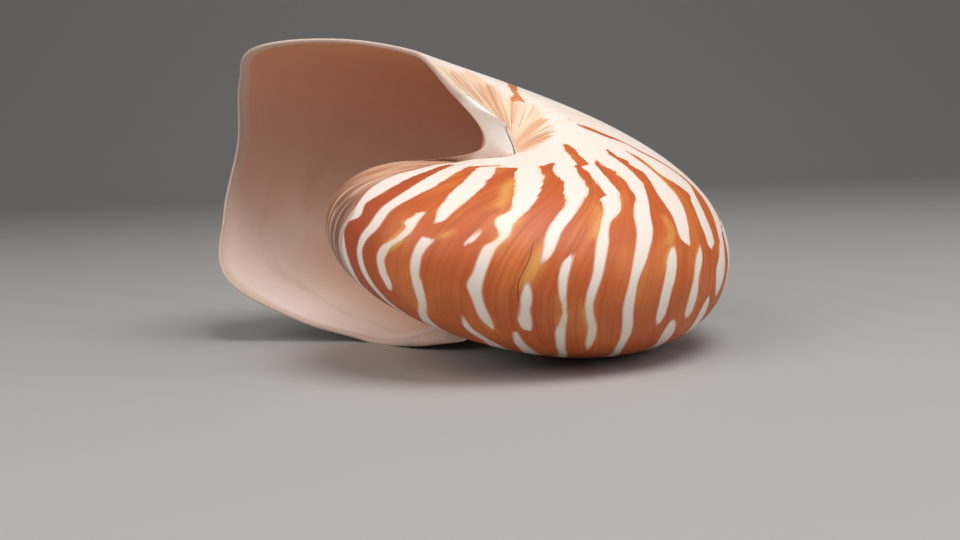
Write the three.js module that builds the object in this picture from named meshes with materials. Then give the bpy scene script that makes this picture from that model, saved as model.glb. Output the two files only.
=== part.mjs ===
import * as THREE from "three";
import { mergeVertices } from "three/addons/utils/BufferGeometryUtils.js";

// A nautilus shell, one grown piece, lying on its flank with the aperture to the left.
// Millimetres, +Z up, origin under the middle of the shell on the ground it rests on.
// The shell is one whorl section carried round a coil axis while it grows by a fixed rate.
// Lengths within a section are fractions of VENTER_RADIUS, angles are in radians.

// Coil
const VENTER_RADIUS = 102;
const GROWTH_RATE = 0.1631;

// Whorl section, from the venter over the flank down into the umbilicus
const FLANK_RHO = 0.3186;
const FLANK_Z = 0.4215;
const VENTER_REACH = 0.3067;
const FLANK_REACH_OUT = 0.2472;
const FLANK_REACH_IN = 0.0812;
const AXIS_Z = 0.2392;
const AXIS_REACH = 0.03;
const AXIS_SLOPE = 1.3834;

// Edge of the aperture: how far it runs ahead of the radial plane, from venter to umbilicus
const EDGE_ACROSS = [0, 0.18, 0.36, 0.55, 0.75, 0.87, 0.94, 1];
const EDGE_AHEAD = [-0.15, -0.06, 0.114, 0.041, -0.1, 0.131, 0.394, 1.035];

// Wall, living chamber, last septum and the open space behind it
const WALL = 0.019;
const DORSAL_END = 0.44;
const HORN_END = 0.86;
const HORN_REACH_DORSAL = [0.245, 0.06];
const HORN_REACH_FLANK = [0.215, 0.05];
const SEPTUM_ANGLE = -2.35;
const SEPTUM_DISH = 0.38;
const SEPTUM_WALL = 0.028;
const SEPTUM_MID_RHO = 0.68;
const SIPHUNCLE = 0.09;
const BACK_ANGLE = -4.8;

// Callus over the umbilicus: it fills the funnel to one height, reaches past the coil axis
// and leaves a slit there that leans back towards the axis as it rises
const CALLUS_HEIGHT = 0.2187;
const CALLUS_BLEND = 8;
const SLIT_REACH = 0.049;
const SLIT_TOP_SHARE = 0.34;
const SLIT_HEADING = Math.PI + 0.35;
const LIP_ROUND = 0.45;
const LIP_ROUND_MOST = 3;

// Rest: turned onto the flank, with small flats worn where the shell touches the ground
const LEAN_X = THREE.MathUtils.degToRad(9.4);
const LEAN_Y = THREE.MathUtils.degToRad(11.77);
const SPIN_Z = THREE.MathUtils.degToRad(150.1);
const FLAT_DEPTH = 0.3;

// Facets
const TURN_ROWS = 42;
const SLIT_STEPS = 4;
const CHAMBER_ROWS = 13;
const SEPTUM_ROWS = 4;
const BACK_ROWS = 5;
const DORSAL_COLUMNS = 8;
const FLANK_COLUMNS = 6;
const UMBILICAL_COLUMNS = 4;

const TURN = 2 * Math.PI;
const { lerp, smoothstep } = THREE.MathUtils;

function spread(from, to, count) {
  return Array.from({ length: count + 1 }, (_, i) => lerp(from, to, i / count));
}

function grow(angle) {
  return Math.exp(GROWTH_RATE * angle);
}

const WHORL_GROWTH = grow(TURN);

// Half of the whorl section, measured along its length: 0 at the venter, 1 at the coil axis
const section = new THREE.CurvePath();
section.add(new THREE.CubicBezierCurve(
  new THREE.Vector2(1, 0),
  new THREE.Vector2(1, VENTER_REACH),
  new THREE.Vector2(FLANK_RHO + FLANK_REACH_OUT, FLANK_Z),
  new THREE.Vector2(FLANK_RHO, FLANK_Z),
));
section.add(new THREE.CubicBezierCurve(
  new THREE.Vector2(FLANK_RHO, FLANK_Z),
  new THREE.Vector2(FLANK_RHO - FLANK_REACH_IN, FLANK_Z),
  new THREE.Vector2(AXIS_REACH * Math.cos(AXIS_SLOPE), AXIS_Z + AXIS_REACH * Math.sin(AXIS_SLOPE)),
  new THREE.Vector2(0, AXIS_Z),
));

// Smooth curve through the edge knots, level at the venter
const edgeSlopes = EDGE_ACROSS.map((_, i) => {
  const last = EDGE_ACROSS.length - 1;
  if (i === 0) {
    return 0;
  }
  const before = (EDGE_AHEAD[i] - EDGE_AHEAD[i - 1]) / (EDGE_ACROSS[i] - EDGE_ACROSS[i - 1]);
  if (i === last) {
    return before;
  }
  const after = (EDGE_AHEAD[i + 1] - EDGE_AHEAD[i]) / (EDGE_ACROSS[i + 1] - EDGE_ACROSS[i]);
  const span = EDGE_ACROSS[i + 1] - EDGE_ACROSS[i - 1];
  const share = (EDGE_ACROSS[i] - EDGE_ACROSS[i - 1]) / span;
  return lerp(before, after, share);
});

function edgeAngle(across) {
  const found = EDGE_ACROSS.findIndex((knot) => knot > across);
  const i = found < 0 ? EDGE_ACROSS.length - 2 : found - 1;
  const span = EDGE_ACROSS[i + 1] - EDGE_ACROSS[i];
  const t = (across - EDGE_ACROSS[i]) / span;
  const keep = (1 + 2 * t) * (1 - t) ** 2;
  const leave = t * (1 - t) ** 2 * span * edgeSlopes[i];
  const arrive = t * t * (t - 1) * span * edgeSlopes[i + 1];
  return keep * EDGE_AHEAD[i] + leave + (1 - keep) * EDGE_AHEAD[i + 1] + arrive;
}

function place(angle, rho, z, aside = 0) {
  const size = VENTER_RADIUS * grow(angle);
  const shift = VENTER_RADIUS * SLIT_REACH * aside;
  return new THREE.Vector3(
    size * rho * Math.cos(angle) + shift * Math.cos(SLIT_HEADING),
    size * rho * Math.sin(angle) + shift * Math.sin(SLIT_HEADING),
    size * z,
  );
}

// Height of the surface at the coil axis: level with the callus, then rising as the whorl grows
function axisHeight(angle) {
  const grown = (AXIS_Z * grow(angle)) ** CALLUS_BLEND;
  return (grown + CALLUS_HEIGHT ** CALLUS_BLEND) ** (1 / CALLUS_BLEND);
}

const slitTop = axisHeight(edgeAngle(1));

function slitRise(angle) {
  return (axisHeight(angle) - CALLUS_HEIGHT) / (slitTop - CALLUS_HEIGHT);
}

function pushAside(rise) {
  return lerp(1, SLIT_TOP_SHARE, smoothstep(rise, 0, 1));
}

function slit(rise, side) {
  return place(0, 0, side * lerp(CALLUS_HEIGHT, slitTop, rise), pushAside(rise));
}

function outside(angle, across, side) {
  const at = section.getPoint(across);
  const fall = (FLANK_Z - axisHeight(angle) / grow(angle)) / (FLANK_Z - AXIS_Z);
  const height = at.x < FLANK_RHO ? lerp(FLANK_Z, at.y, fall) : at.y;
  return place(angle, at.x, side * height, smoothstep(across, 0.8, 1) * pushAside(slitRise(angle)));
}

// Columns across half a whorl
const dorsal = spread(0, DORSAL_END, DORSAL_COLUMNS);
const flank = spread(DORSAL_END, HORN_END, FLANK_COLUMNS);
const umbilical = spread(HORN_END, 1, UMBILICAL_COLUMNS);
const acrossWhorl = [...dorsal, ...flank.slice(1), ...umbilical.slice(1)];
const hornColumns = acrossWhorl.length - 1 - DORSAL_COLUMNS + SLIT_STEPS + UMBILICAL_COLUMNS;

// Outside of the last full whorl, from one umbilicus over the venter to the other
const columns = [
  ...acrossWhorl.map((across) => ({ across, side: 1 })).reverse(),
  ...acrossWhorl.slice(1).map((across) => ({ across, side: -1 })),
];
const outsideRows = spread(0, 1, TURN_ROWS).map((t) => columns.map(({ across, side }) => {
  if (across === 1) {
    const rise = slitRise(edgeAngle(1) - TURN * (1 - t));
    return slit(Math.round(rise * SLIT_STEPS) / SLIT_STEPS, side);
  }
  return outside(edgeAngle(across) - TURN * (1 - t), across, side);
}));

// Free edge of the outside: over the last whorl, up the slit and along the lip
function freeEdge(side) {
  const onWhorl = acrossWhorl.slice(DORSAL_COLUMNS, -1);
  const lip = acrossWhorl.slice(0, -1).reverse();
  return [
    ...onWhorl.map((across) => outside(edgeAngle(across) - TURN, across, side)),
    ...spread(0, 1, SLIT_STEPS).map((rise) => slit(rise, side)),
    ...lip.map((across) => outside(edgeAngle(across), across, side)),
  ];
}

const outerEdge = [...freeEdge(1), ...freeEdge(-1).slice(0, -1).reverse()];

// Living chamber section: along the last whorl, round the umbilical horn, under the wall
function underWall(across) {
  const along = section.getTangent(across);
  return section.getPoint(across).add(new THREE.Vector2(-along.y, along.x).multiplyScalar(WALL));
}

function onLastWhorl(across) {
  return section.getPoint(across).divideScalar(WHORL_GROWTH);
}

function horn(stage) {
  const start = onLastWhorl(DORSAL_END);
  const end = underWall(HORN_END);
  const startWay = section.getTangent(DORSAL_END).multiplyScalar(HORN_REACH_DORSAL[stage]);
  const endWay = section.getTangent(HORN_END).multiplyScalar(HORN_REACH_FLANK[stage]);
  return new THREE.CubicBezierCurve(start, startWay.add(start), endWay.add(end), end);
}

const hornAtEdge = horn(0);
const hornInside = horn(1);
const hornStations = spread(0, 1, hornColumns).map((w) => ({
  front: hornAtEdge.getPoint(w),
  deep: hornInside.getPoint(w),
  angle: lerp(edgeAngle(DORSAL_END), edgeAngle(HORN_END), smoothstep(w, 0, 1)),
}));
const wallStations = [...dorsal, ...flank.slice(1, -1)].reverse().map((across) => ({
  front: underWall(across),
  deep: underWall(across),
  angle: edgeAngle(across),
}));
const dorsalStations = dorsal.slice(0, -1).map((across) => ({
  front: onLastWhorl(across),
  deep: onLastWhorl(across),
  angle: edgeAngle(across),
}));

function mirrored({ front, deep, angle }) {
  return {
    front: new THREE.Vector2(front.x, -front.y),
    deep: new THREE.Vector2(deep.x, -deep.y),
    angle,
  };
}

const upperStations = [...hornStations, ...wallStations];
const lipStations = [...upperStations, ...upperStations.slice(0, -1).map(mirrored).reverse()];
const chamberStations = [
  ...lipStations,
  ...dorsalStations.map(mirrored).reverse(),
  ...dorsalStations.slice(1),
];

const innerEdge = lipStations.map(({ front, angle }) => place(angle, front.x, front.y));

// Lip and callus: a rounded strip between the two free edges
const lipCrest = lipStations.map(({ front, angle }, i) => {
  const ahead = place(angle + 0.001, front.x, front.y).sub(innerEdge[i]).normalize();
  const width = Math.min(outerEdge[i].distanceTo(innerEdge[i]), LIP_ROUND_MOST);
  return outerEdge[i].clone().lerp(innerEdge[i], 0.5).addScaledVector(ahead, LIP_ROUND * width);
});

// Inside, from the lip back to the last septum, through the siphuncle and into the space behind
const chamberRows = spread(0, 1, CHAMBER_ROWS).map((t) => chamberStations.map((station) => {
  const angle = lerp(station.angle, SEPTUM_ANGLE, t);
  const inward = t === 0 ? 0 : smoothstep(0.2 - angle, 0, 1.6);
  const at = station.front.clone().lerp(station.deep, inward);
  return place(angle, at.x, at.y);
}));

function septumRow(share, angle) {
  const dish = SEPTUM_DISH * (1 - share * share);
  return chamberStations.map(({ deep }) => {
    const rho = lerp(SEPTUM_MID_RHO, deep.x, share);
    return place(angle - dish, rho, deep.y * share);
  });
}

const septumShares = spread(1, SIPHUNCLE, SEPTUM_ROWS);
const septumBack = SEPTUM_ANGLE - SEPTUM_WALL;
const septumRows = [
  ...septumShares.slice(1).map((share) => septumRow(share, SEPTUM_ANGLE)),
  ...septumShares.reverse().map((share) => septumRow(share, septumBack)),
];
const backRows = spread(septumBack, BACK_ANGLE, BACK_ROWS).slice(1).map((angle) => (
  chamberStations.map(({ deep }) => place(angle, deep.x, deep.y))
));
const backEnd = chamberStations.map(() => place(BACK_ANGLE - 0.1, SEPTUM_MID_RHO, 0));

// Facets: each four neighbours make two triangles along their shorter diagonal
const positions = [];

function facet(a, b, c) {
  if (a.equals(b) || b.equals(c) || c.equals(a)) {
    return;
  }
  positions.push(...a.toArray(), ...b.toArray(), ...c.toArray());
}

function sheet(rows, isRing) {
  const count = rows[0].length;
  const steps = isRing ? count : count - 1;
  for (let i = 0; i + 1 < rows.length; i += 1) {
    for (let j = 0; j < steps; j += 1) {
      const next = (j + 1) % count;
      const [a, b, c, d] = [rows[i][j], rows[i][next], rows[i + 1][next], rows[i + 1][j]];
      if (a.distanceTo(c) <= b.distanceTo(d)) {
        facet(a, b, c);
        facet(a, c, d);
      } else {
        facet(a, b, d);
        facet(b, c, d);
      }
    }
  }
}

sheet(outsideRows, false);
sheet([outerEdge, lipCrest, innerEdge], false);
sheet([...chamberRows, ...septumRows, ...backRows, backEnd], true);

let geometry = new THREE.BufferGeometry();
geometry.setAttribute("position", new THREE.Float32BufferAttribute(positions, 3));
geometry = mergeVertices(geometry, 1e-4);

// Laid on its flank and lowered until the flats appear, then centred over the ground
const lean = new THREE.Euler(LEAN_X, LEAN_Y, SPIN_Z, "YXZ");
geometry.applyMatrix4(new THREE.Matrix4().makeRotationFromEuler(lean));
geometry.computeBoundingBox();
const middle = geometry.boundingBox.getCenter(new THREE.Vector3());
geometry.translate(-middle.x, -middle.y, -geometry.boundingBox.min.z - FLAT_DEPTH);
const vertices = geometry.getAttribute("position");
for (let i = 0; i < vertices.count; i += 1) {
  vertices.setZ(i, Math.max(0, vertices.getZ(i)));
}
geometry.computeVertexNormals();

const shellMaterial = new THREE.MeshStandardMaterial({
  color: 0xe8cdb9,
  roughness: 0.35,
  metalness: 0,
});

const shell = new THREE.Mesh(geometry, shellMaterial);
shell.name = "nautilus_shell";

const nautilus = new THREE.Group();
nautilus.add(shell);

export default nautilus;
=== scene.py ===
import bpy
import numpy as np
from mathutils import Matrix


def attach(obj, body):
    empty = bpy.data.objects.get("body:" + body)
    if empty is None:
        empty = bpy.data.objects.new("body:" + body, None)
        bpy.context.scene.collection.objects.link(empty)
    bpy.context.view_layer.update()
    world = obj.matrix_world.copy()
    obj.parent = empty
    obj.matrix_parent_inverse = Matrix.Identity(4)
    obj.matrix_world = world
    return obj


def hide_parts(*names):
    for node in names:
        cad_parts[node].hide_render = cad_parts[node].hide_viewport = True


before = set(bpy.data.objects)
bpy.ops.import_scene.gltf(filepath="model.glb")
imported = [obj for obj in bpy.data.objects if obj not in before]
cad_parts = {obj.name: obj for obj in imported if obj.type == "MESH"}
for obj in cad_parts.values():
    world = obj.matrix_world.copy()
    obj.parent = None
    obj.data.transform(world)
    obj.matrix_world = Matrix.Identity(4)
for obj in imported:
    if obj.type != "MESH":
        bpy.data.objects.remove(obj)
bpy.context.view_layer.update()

# Shell: a chambered nautilus, one grown piece of aragonite lying on its flank. The animal laid it
# down at the lip, so every part is the same whorl section carried round the coil axis and swollen
# by a fixed rate, closed at the middle of the coil by a white callus.
MM = 0.001
TURN = 2 * np.pi
# Places are in millimetres. The section, wall, slit and callus are shares of the venter radius at the
# aperture. Across is a share of the half section's length, 0 on the venter and 1 at the coil axis, and
# angles are radians round the coil, 0 at the aperture and less towards the older shell. The growth rate,
# the section and the course of the lip were fitted to edges traced on the photograph.
VENTER_RADIUS = 102.0
GROWTH_RATE = 0.1631
SECTION_OUTER = np.array([(1.0, 0.0), (1.0, 0.3067), (0.5658, 0.4215), (0.3186, 0.4215)])
SECTION_INNER = np.array([(0.3186, 0.4215), (0.2374, 0.4215), (0.0056, 0.2687), (0.0, 0.2392)])
EDGE_ACROSS = np.array([0, 0.18, 0.36, 0.55, 0.75, 0.87, 0.94, 1])
EDGE_AHEAD = np.array([-0.15, -0.06, 0.114, 0.041, -0.1, 0.131, 0.394, 1.035])
WALL = 0.019
LIP_WALL = 0.5
THIN_LIP_END = 0.55
DORSAL_END = 0.44
HORN_END = 0.86
HORN_REACH_DORSAL = np.array([0.245, 0.06])
HORN_REACH_FLANK = np.array([0.215, 0.05])
SEPTUM_ANGLE = -2.35
SEPTUM_DISH = 0.38
SEPTUM_MID_RHO = 0.68
SIPHUNCLE = 0.09
CALLUS_HEIGHT = 0.2187
CALLUS_BLEND = 8
SLIT_REACH = 0.049
SLIT_TOP_SHARE = 0.34
SLIT_HEADING = np.pi + 0.35
SLIT_PUSH_FROM = 0.8
LEAN_X, LEAN_Y, SPIN_Z = np.radians([9.4, 11.77, 150.1])
COIL_AT = np.array([5.911, -17.294, 32.5])
TURN_ROWS = 330
SLIT_STEPS = 14
SMALL_STEP = 1e-3
CHAMBER_ROWS = 60
SEPTUM_ROWS = 10
LIP_ROWS = 10
DORSAL_COLUMNS = 38
FLANK_COLUMNS = 34
UMBILICAL_COLUMNS = 14


def ease(x, low, high):
    """0 below low, 1 above high, and the cubic 3t^2 - 2t^3 between them."""
    t = np.clip((np.asarray(x) - low) / (high - low), 0, 1)
    return t * t * (3 - 2 * t)


def curve_through(x, knots, values, first_slope=None, steady=False):
    """Cubic Hermite curve through the knots, each slope the span-weighted mean of its two chords. A
    steady curve has its slopes held to three times the lesser chord, so it never swings past a knot."""
    x, knots, values = (np.asarray(a, float) for a in (x, knots, values))
    span = np.diff(knots)
    chord = np.diff(values) / span
    before, after = chord[:-1], chord[1:]
    middle = (before * span[1:] + after * span[:-1]) / (span[1:] + span[:-1])
    if steady:
        least = 3 * np.minimum(np.abs(before), np.abs(after)) * (before * after > 0)
        middle = np.clip(middle, -least, least)
    slope = np.concatenate([chord[:1], middle, chord[-1:]])
    slope[0] = slope[0] if first_slope is None else first_slope
    i = np.clip(np.searchsorted(knots, x, side="right") - 1, 0, len(span) - 1)
    t = np.clip((x - knots[i]) / span[i], 0, 1)
    keep = (1 + 2 * t) * (1 - t) ** 2
    return (keep * values[i] + t * (1 - t) ** 2 * span[i] * slope[i]
            + (1 - keep) * values[i + 1] + t * t * (t - 1) * span[i] * slope[i + 1])


def bezier(points, t):
    """Cubic Bezier: the four points weighted by the Bernstein polynomials of t."""
    t = np.asarray(t)[..., None]
    p = np.asarray(points)
    return ((1 - t) ** 3 * p[0] + 3 * (1 - t) ** 2 * t * p[1]
            + 3 * (1 - t) * t ** 2 * p[2] + t ** 3 * p[3])


def grow(angle):
    """Size of the whorl, e to the growth rate times the angle."""
    return np.exp(GROWTH_RATE * np.asarray(angle))


SECTION_POINTS = 2001
fine = np.linspace(0, 1, SECTION_POINTS)
section_points = np.concatenate([bezier(SECTION_OUTER, fine), bezier(SECTION_INNER, fine)[1:]])
section_run = np.concatenate([[0], np.cumsum(np.hypot(*np.diff(section_points, axis=0).T))])
SECTION_LENGTH = section_run[-1]
section_run /= SECTION_LENGTH


def section(across):
    """Radius and height of the whorl section at a share of its length, 0 venter to 1 coil axis."""
    return np.stack([np.interp(across, section_run, section_points[:, k]) for k in (0, 1)], -1)


def section_way(across):
    """Unit tangent of the section, by a short central difference."""
    ahead, behind = np.clip(across + SMALL_STEP, 0, 1), np.clip(across - SMALL_STEP, 0, 1)
    step = section(ahead) - section(behind)
    return step / np.linalg.norm(step, axis=-1, keepdims=True)


def edge_angle(across):
    """How far the lip runs ahead of the radial plane, level at the venter."""
    return curve_through(np.abs(across), EDGE_ACROSS, EDGE_AHEAD, first_slope=0)


def place(angle, rho, z, aside=0.0):
    """Point of the coil: the section point scaled by growth and turned by the angle, pushed aside."""
    size = VENTER_RADIUS * grow(angle)
    shift = VENTER_RADIUS * SLIT_REACH * aside
    return np.stack(np.broadcast_arrays(size * rho * np.cos(angle) + shift * np.cos(SLIT_HEADING),
                                        size * rho * np.sin(angle) + shift * np.sin(SLIT_HEADING),
                                        size * z), -1)


def axis_height(angle):
    """Height of the surface at the coil axis: the larger of callus and funnel, by a high power mean."""
    grown = (SECTION_INNER[-1][1] * grow(angle)) ** CALLUS_BLEND
    return (grown + CALLUS_HEIGHT ** CALLUS_BLEND) ** (1 / CALLUS_BLEND)


slit_top = axis_height(edge_angle(1.0))


def slit_rise(angle):
    """How far up the slit the surface meets the coil axis, 0 at its foot and 1 at its top."""
    return (axis_height(angle) - CALLUS_HEIGHT) / (slit_top - CALLUS_HEIGHT)


def push_aside(rise):
    """Share of the callus push: whole at the foot of the slit, easing to the top share."""
    return 1 + (SLIT_TOP_SHARE - 1) * ease(rise, 0, 1)


def slit_point(rise, side):
    """The slit where the callus meets the funnel: up the coil axis, pushed aside by the callus."""
    height = CALLUS_HEIGHT + (slit_top - CALLUS_HEIGHT) * np.asarray(rise)
    return place(0.0, 0.0, side * height, push_aside(rise))


def outside(angle, across, side):
    """Outer surface of the whorl: the section at that angle, its fall past the flank scaled to end on
    the callus or the grown funnel, and its deepest part pushed aside."""
    rho, height = np.moveaxis(section(across), -1, 0)
    flank_rho, flank = SECTION_INNER[0]
    fall = (flank - axis_height(angle) / grow(angle)) / (flank - SECTION_INNER[-1][1])
    height = np.where(rho < flank_rho, flank + (height - flank) * fall, height)
    return place(angle, rho, side * height, ease(across, SLIT_PUSH_FROM, 1) * push_aside(slit_rise(angle)))


columns = np.concatenate([np.linspace(0, DORSAL_END, DORSAL_COLUMNS + 1),
                          np.linspace(DORSAL_END, HORN_END, FLANK_COLUMNS + 1)[1:],
                          np.linspace(HORN_END, 1, UMBILICAL_COLUMNS + 1)[1:]])
half = len(columns) - 1
horn_start, horn_stop = DORSAL_COLUMNS, DORSAL_COLUMNS + FLANK_COLUMNS
across_all = np.concatenate([-columns[::-1], columns[1:]])[::-1]
turn_share = np.linspace(0, 1, TURN_ROWS + 1)[:, None]
out_across = np.broadcast_to(across_all, (TURN_ROWS + 1, 2 * half + 1))
out_angle = edge_angle(across_all)[None] - TURN * (1 - turn_share)
out_points = outside(out_angle, np.abs(out_across), np.where(out_across < 0, -1.0, 1.0))
slit_share = np.round(slit_rise(edge_angle(1.0) - TURN * (1 - turn_share[:, 0])) * SLIT_STEPS) / SLIT_STEPS

# Glaze laid by the mantle over the shoulder of the earlier whorl, where that enters the aperture
GLAZE = 1.0
GLAZE_RISE = (0.56, 0.7)
GLAZE_FALL = (0.8, 1)
GLAZE_TURN = (0, 0.1)
out_side = np.abs(out_across)
glaze = (GLAZE * ease(out_side, *GLAZE_RISE) * (1 - ease(out_side, *GLAZE_FALL))
         * (1 - ease(turn_share, *GLAZE_TURN)))
out_points[..., 2] += np.sign(out_across) * glaze
out_points[:, 0] = slit_point(slit_share, 1.0)
out_points[:, -1] = slit_point(slit_share, -1.0)

# Free edge of the outside: over the last whorl, up the slit and along the lip, both sides
rises = np.arange(1, SLIT_STEPS + 1) / SLIT_STEPS
upper_edge = np.concatenate([out_points[0, half - horn_start::-1], slit_point(rises, 1.0),
                             out_points[-1, 1:half + 1]])
lower_edge = np.concatenate([out_points[0, half + horn_start:], slit_point(rises, -1.0),
                             out_points[-1, half:-1][::-1]])
outer_edge = np.concatenate([upper_edge, lower_edge[:-1][::-1]])


def under_wall(across, share=1.0):
    """The section moved inwards by a share of the wall, along its normal."""
    way = section_way(across)
    return section(across) - WALL * np.asarray(share)[..., None] * np.stack([way[..., 1], -way[..., 0]], -1)


def horn(share, stage):
    """Curve from the last whorl round the umbilical corner to the wall, wide at the edge, tight inside."""
    start = section(np.array(DORSAL_END)) / grow(TURN)
    end = under_wall(np.array(HORN_END))
    return bezier([start, start + HORN_REACH_DORSAL[stage] * section_way(np.array(DORSAL_END)),
                   end + HORN_REACH_FLANK[stage] * section_way(np.array(HORN_END)), end], share)


horn_columns = (half - horn_start) + SLIT_STEPS + (half - horn_stop)
horn_share = np.linspace(0, 1, horn_columns + 1)
wall_across = columns[:horn_stop][::-1]
lip_wall = LIP_WALL + (1 - LIP_WALL) * ease(wall_across, THIN_LIP_END, HORN_END)
front = np.concatenate([horn(horn_share, 0), under_wall(wall_across, lip_wall)])
deep = np.concatenate([horn(horn_share, 1), under_wall(wall_across)])
horn_from, horn_to = edge_angle(DORSAL_END), edge_angle(HORN_END)
horn_angle = horn_from + (horn_to - horn_from) * ease(horn_share, 0, 1)
lip_angle = np.concatenate([horn_angle, edge_angle(wall_across)])
lip_across = np.concatenate([np.full(horn_columns + 1, HORN_END), wall_across])
dorsal_across = np.concatenate([-columns[:horn_start][::-1], columns[1:horn_start]])
dorsal = section(np.abs(dorsal_across)) / grow(TURN) * np.stack(
    [np.ones_like(dorsal_across), np.where(dorsal_across < 0, -1, 1)], -1)


def both_sides(upper, flip=1):
    """The upper half followed by its mirror image, with the shared venter point once."""
    return np.concatenate([upper, (upper * flip)[:-1][::-1]])


mirror = np.array([1, -1])
lip_front = both_sides(front, mirror)
lip_angle = both_sides(lip_angle)
ring_front = np.concatenate([lip_front, dorsal])
ring_deep = np.concatenate([both_sides(deep, mirror), dorsal])
ring_angle = np.concatenate([lip_angle, edge_angle(dorsal_across)])
ring_across = np.concatenate([both_sides(lip_across, -1), dorsal_across])
inner_edge = place(lip_angle, lip_front[:, 0], lip_front[:, 1])

# Lip and callus: a strip of Hermite curves between the two free edges. The lip turns over like a bead,
# the callus swells forward from the slit, and on the last whorl the strip is a low fillet.
FILLET = 0.5
SWELL = 0.6
LIP_REACH = 1.8
TUCK = 0.8
NEVER_ZERO = 1e-9
on_whorl = half - horn_start
edge_across = np.concatenate([columns[horn_start:], np.ones(SLIT_STEPS), columns[:half][::-1]])
column = np.arange(len(edge_across))
edge_turn = edge_angle(edge_across) - TURN * (column <= on_whorl)
is_lip = column > on_whorl + SLIT_STEPS
whorl_share = np.where(column < on_whorl, 1 - ease(edge_across, HORN_END, 1), 0)
lip_share = np.where(is_lip, 1 - ease(edge_across, HORN_END, 1), 0)
turn_way = outside(edge_turn + SMALL_STEP, edge_across, 1.0) - outside(edge_turn, edge_across, 1.0)
turn_way = both_sides(turn_way, np.array([1, 1, -1]))
turn_way /= np.linalg.norm(turn_way, axis=-1, keepdims=True) + NEVER_ZERO
mouth_way = place(lip_angle + SMALL_STEP, lip_front[:, 0], lip_front[:, 1]) - inner_edge
mouth_way /= np.linalg.norm(mouth_way, axis=-1, keepdims=True)
strip_way = inner_edge - outer_edge
strip_width = np.linalg.norm(strip_way, axis=-1, keepdims=True)
whorl_part, lip_part = both_sides(whorl_share)[:, None], both_sides(lip_share)[:, None]
callus_part = 1 - whorl_part - lip_part
outward = np.array([0, 0, 1]) * np.sign(outer_edge[:, 2:])
leave = ((1 - lip_part) * strip_way + LIP_REACH * lip_part * strip_width * turn_way
         + strip_width * (SWELL * callus_part * mouth_way + FILLET * whorl_part * outward))
arrive = -strip_width * mouth_way * (TUCK + (LIP_REACH - TUCK) * lip_part)
t = np.linspace(0, 1, LIP_ROWS + 1)[:, None, None]
strip_points = ((1 + 2 * t) * (1 - t) ** 2 * outer_edge + t * (1 - t) ** 2 * leave
                + t * t * (3 - 2 * t) * inner_edge + t * t * (t - 1) * arrive)

# Chamber: the inner section carried back from the lip to the last septum, a dish with a pit at its
# middle where the siphuncle tube leaves
TIGHT_FROM = 0.2
TIGHT_OVER = 1.6
PIT_TAPER = 0.9
PIT_DEPTH = 0.06
row_share = np.linspace(0, 1, CHAMBER_ROWS + 1)[:, None]
row_angle = ring_angle + (SEPTUM_ANGLE - ring_angle) * row_share
inward = ease(TIGHT_FROM - row_angle, 0, TIGHT_OVER)[..., None] * (row_share > 0)[..., None]
row_section = ring_front + (ring_deep - ring_front) * inward
chamber_points = place(row_angle, row_section[..., 0], row_section[..., 1])
dish_share = np.linspace(1, SIPHUNCLE, SEPTUM_ROWS + 1)[1:, None]
pit_share = np.array([SIPHUNCLE, SIPHUNCLE * PIT_TAPER, 0])[:, None]
pit_angle = PIT_DEPTH * np.array([1, 2, 2])[:, None]
septum_share = np.concatenate([dish_share, pit_share])
septum_angle = SEPTUM_ANGLE - SEPTUM_DISH * (1 - septum_share ** 2)
septum_angle[-len(pit_angle):] -= pit_angle
septum_angle = np.broadcast_to(septum_angle, (len(septum_share), len(ring_deep)))
septum_rho = SEPTUM_MID_RHO + (ring_deep[:, 0] - SEPTUM_MID_RHO) * septum_share
septum_points = place(septum_angle, septum_rho, ring_deep[:, 1] * septum_share)
inner_points = np.concatenate([chamber_points, septum_points])
inner_angle = np.concatenate([row_angle, septum_angle])

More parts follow.
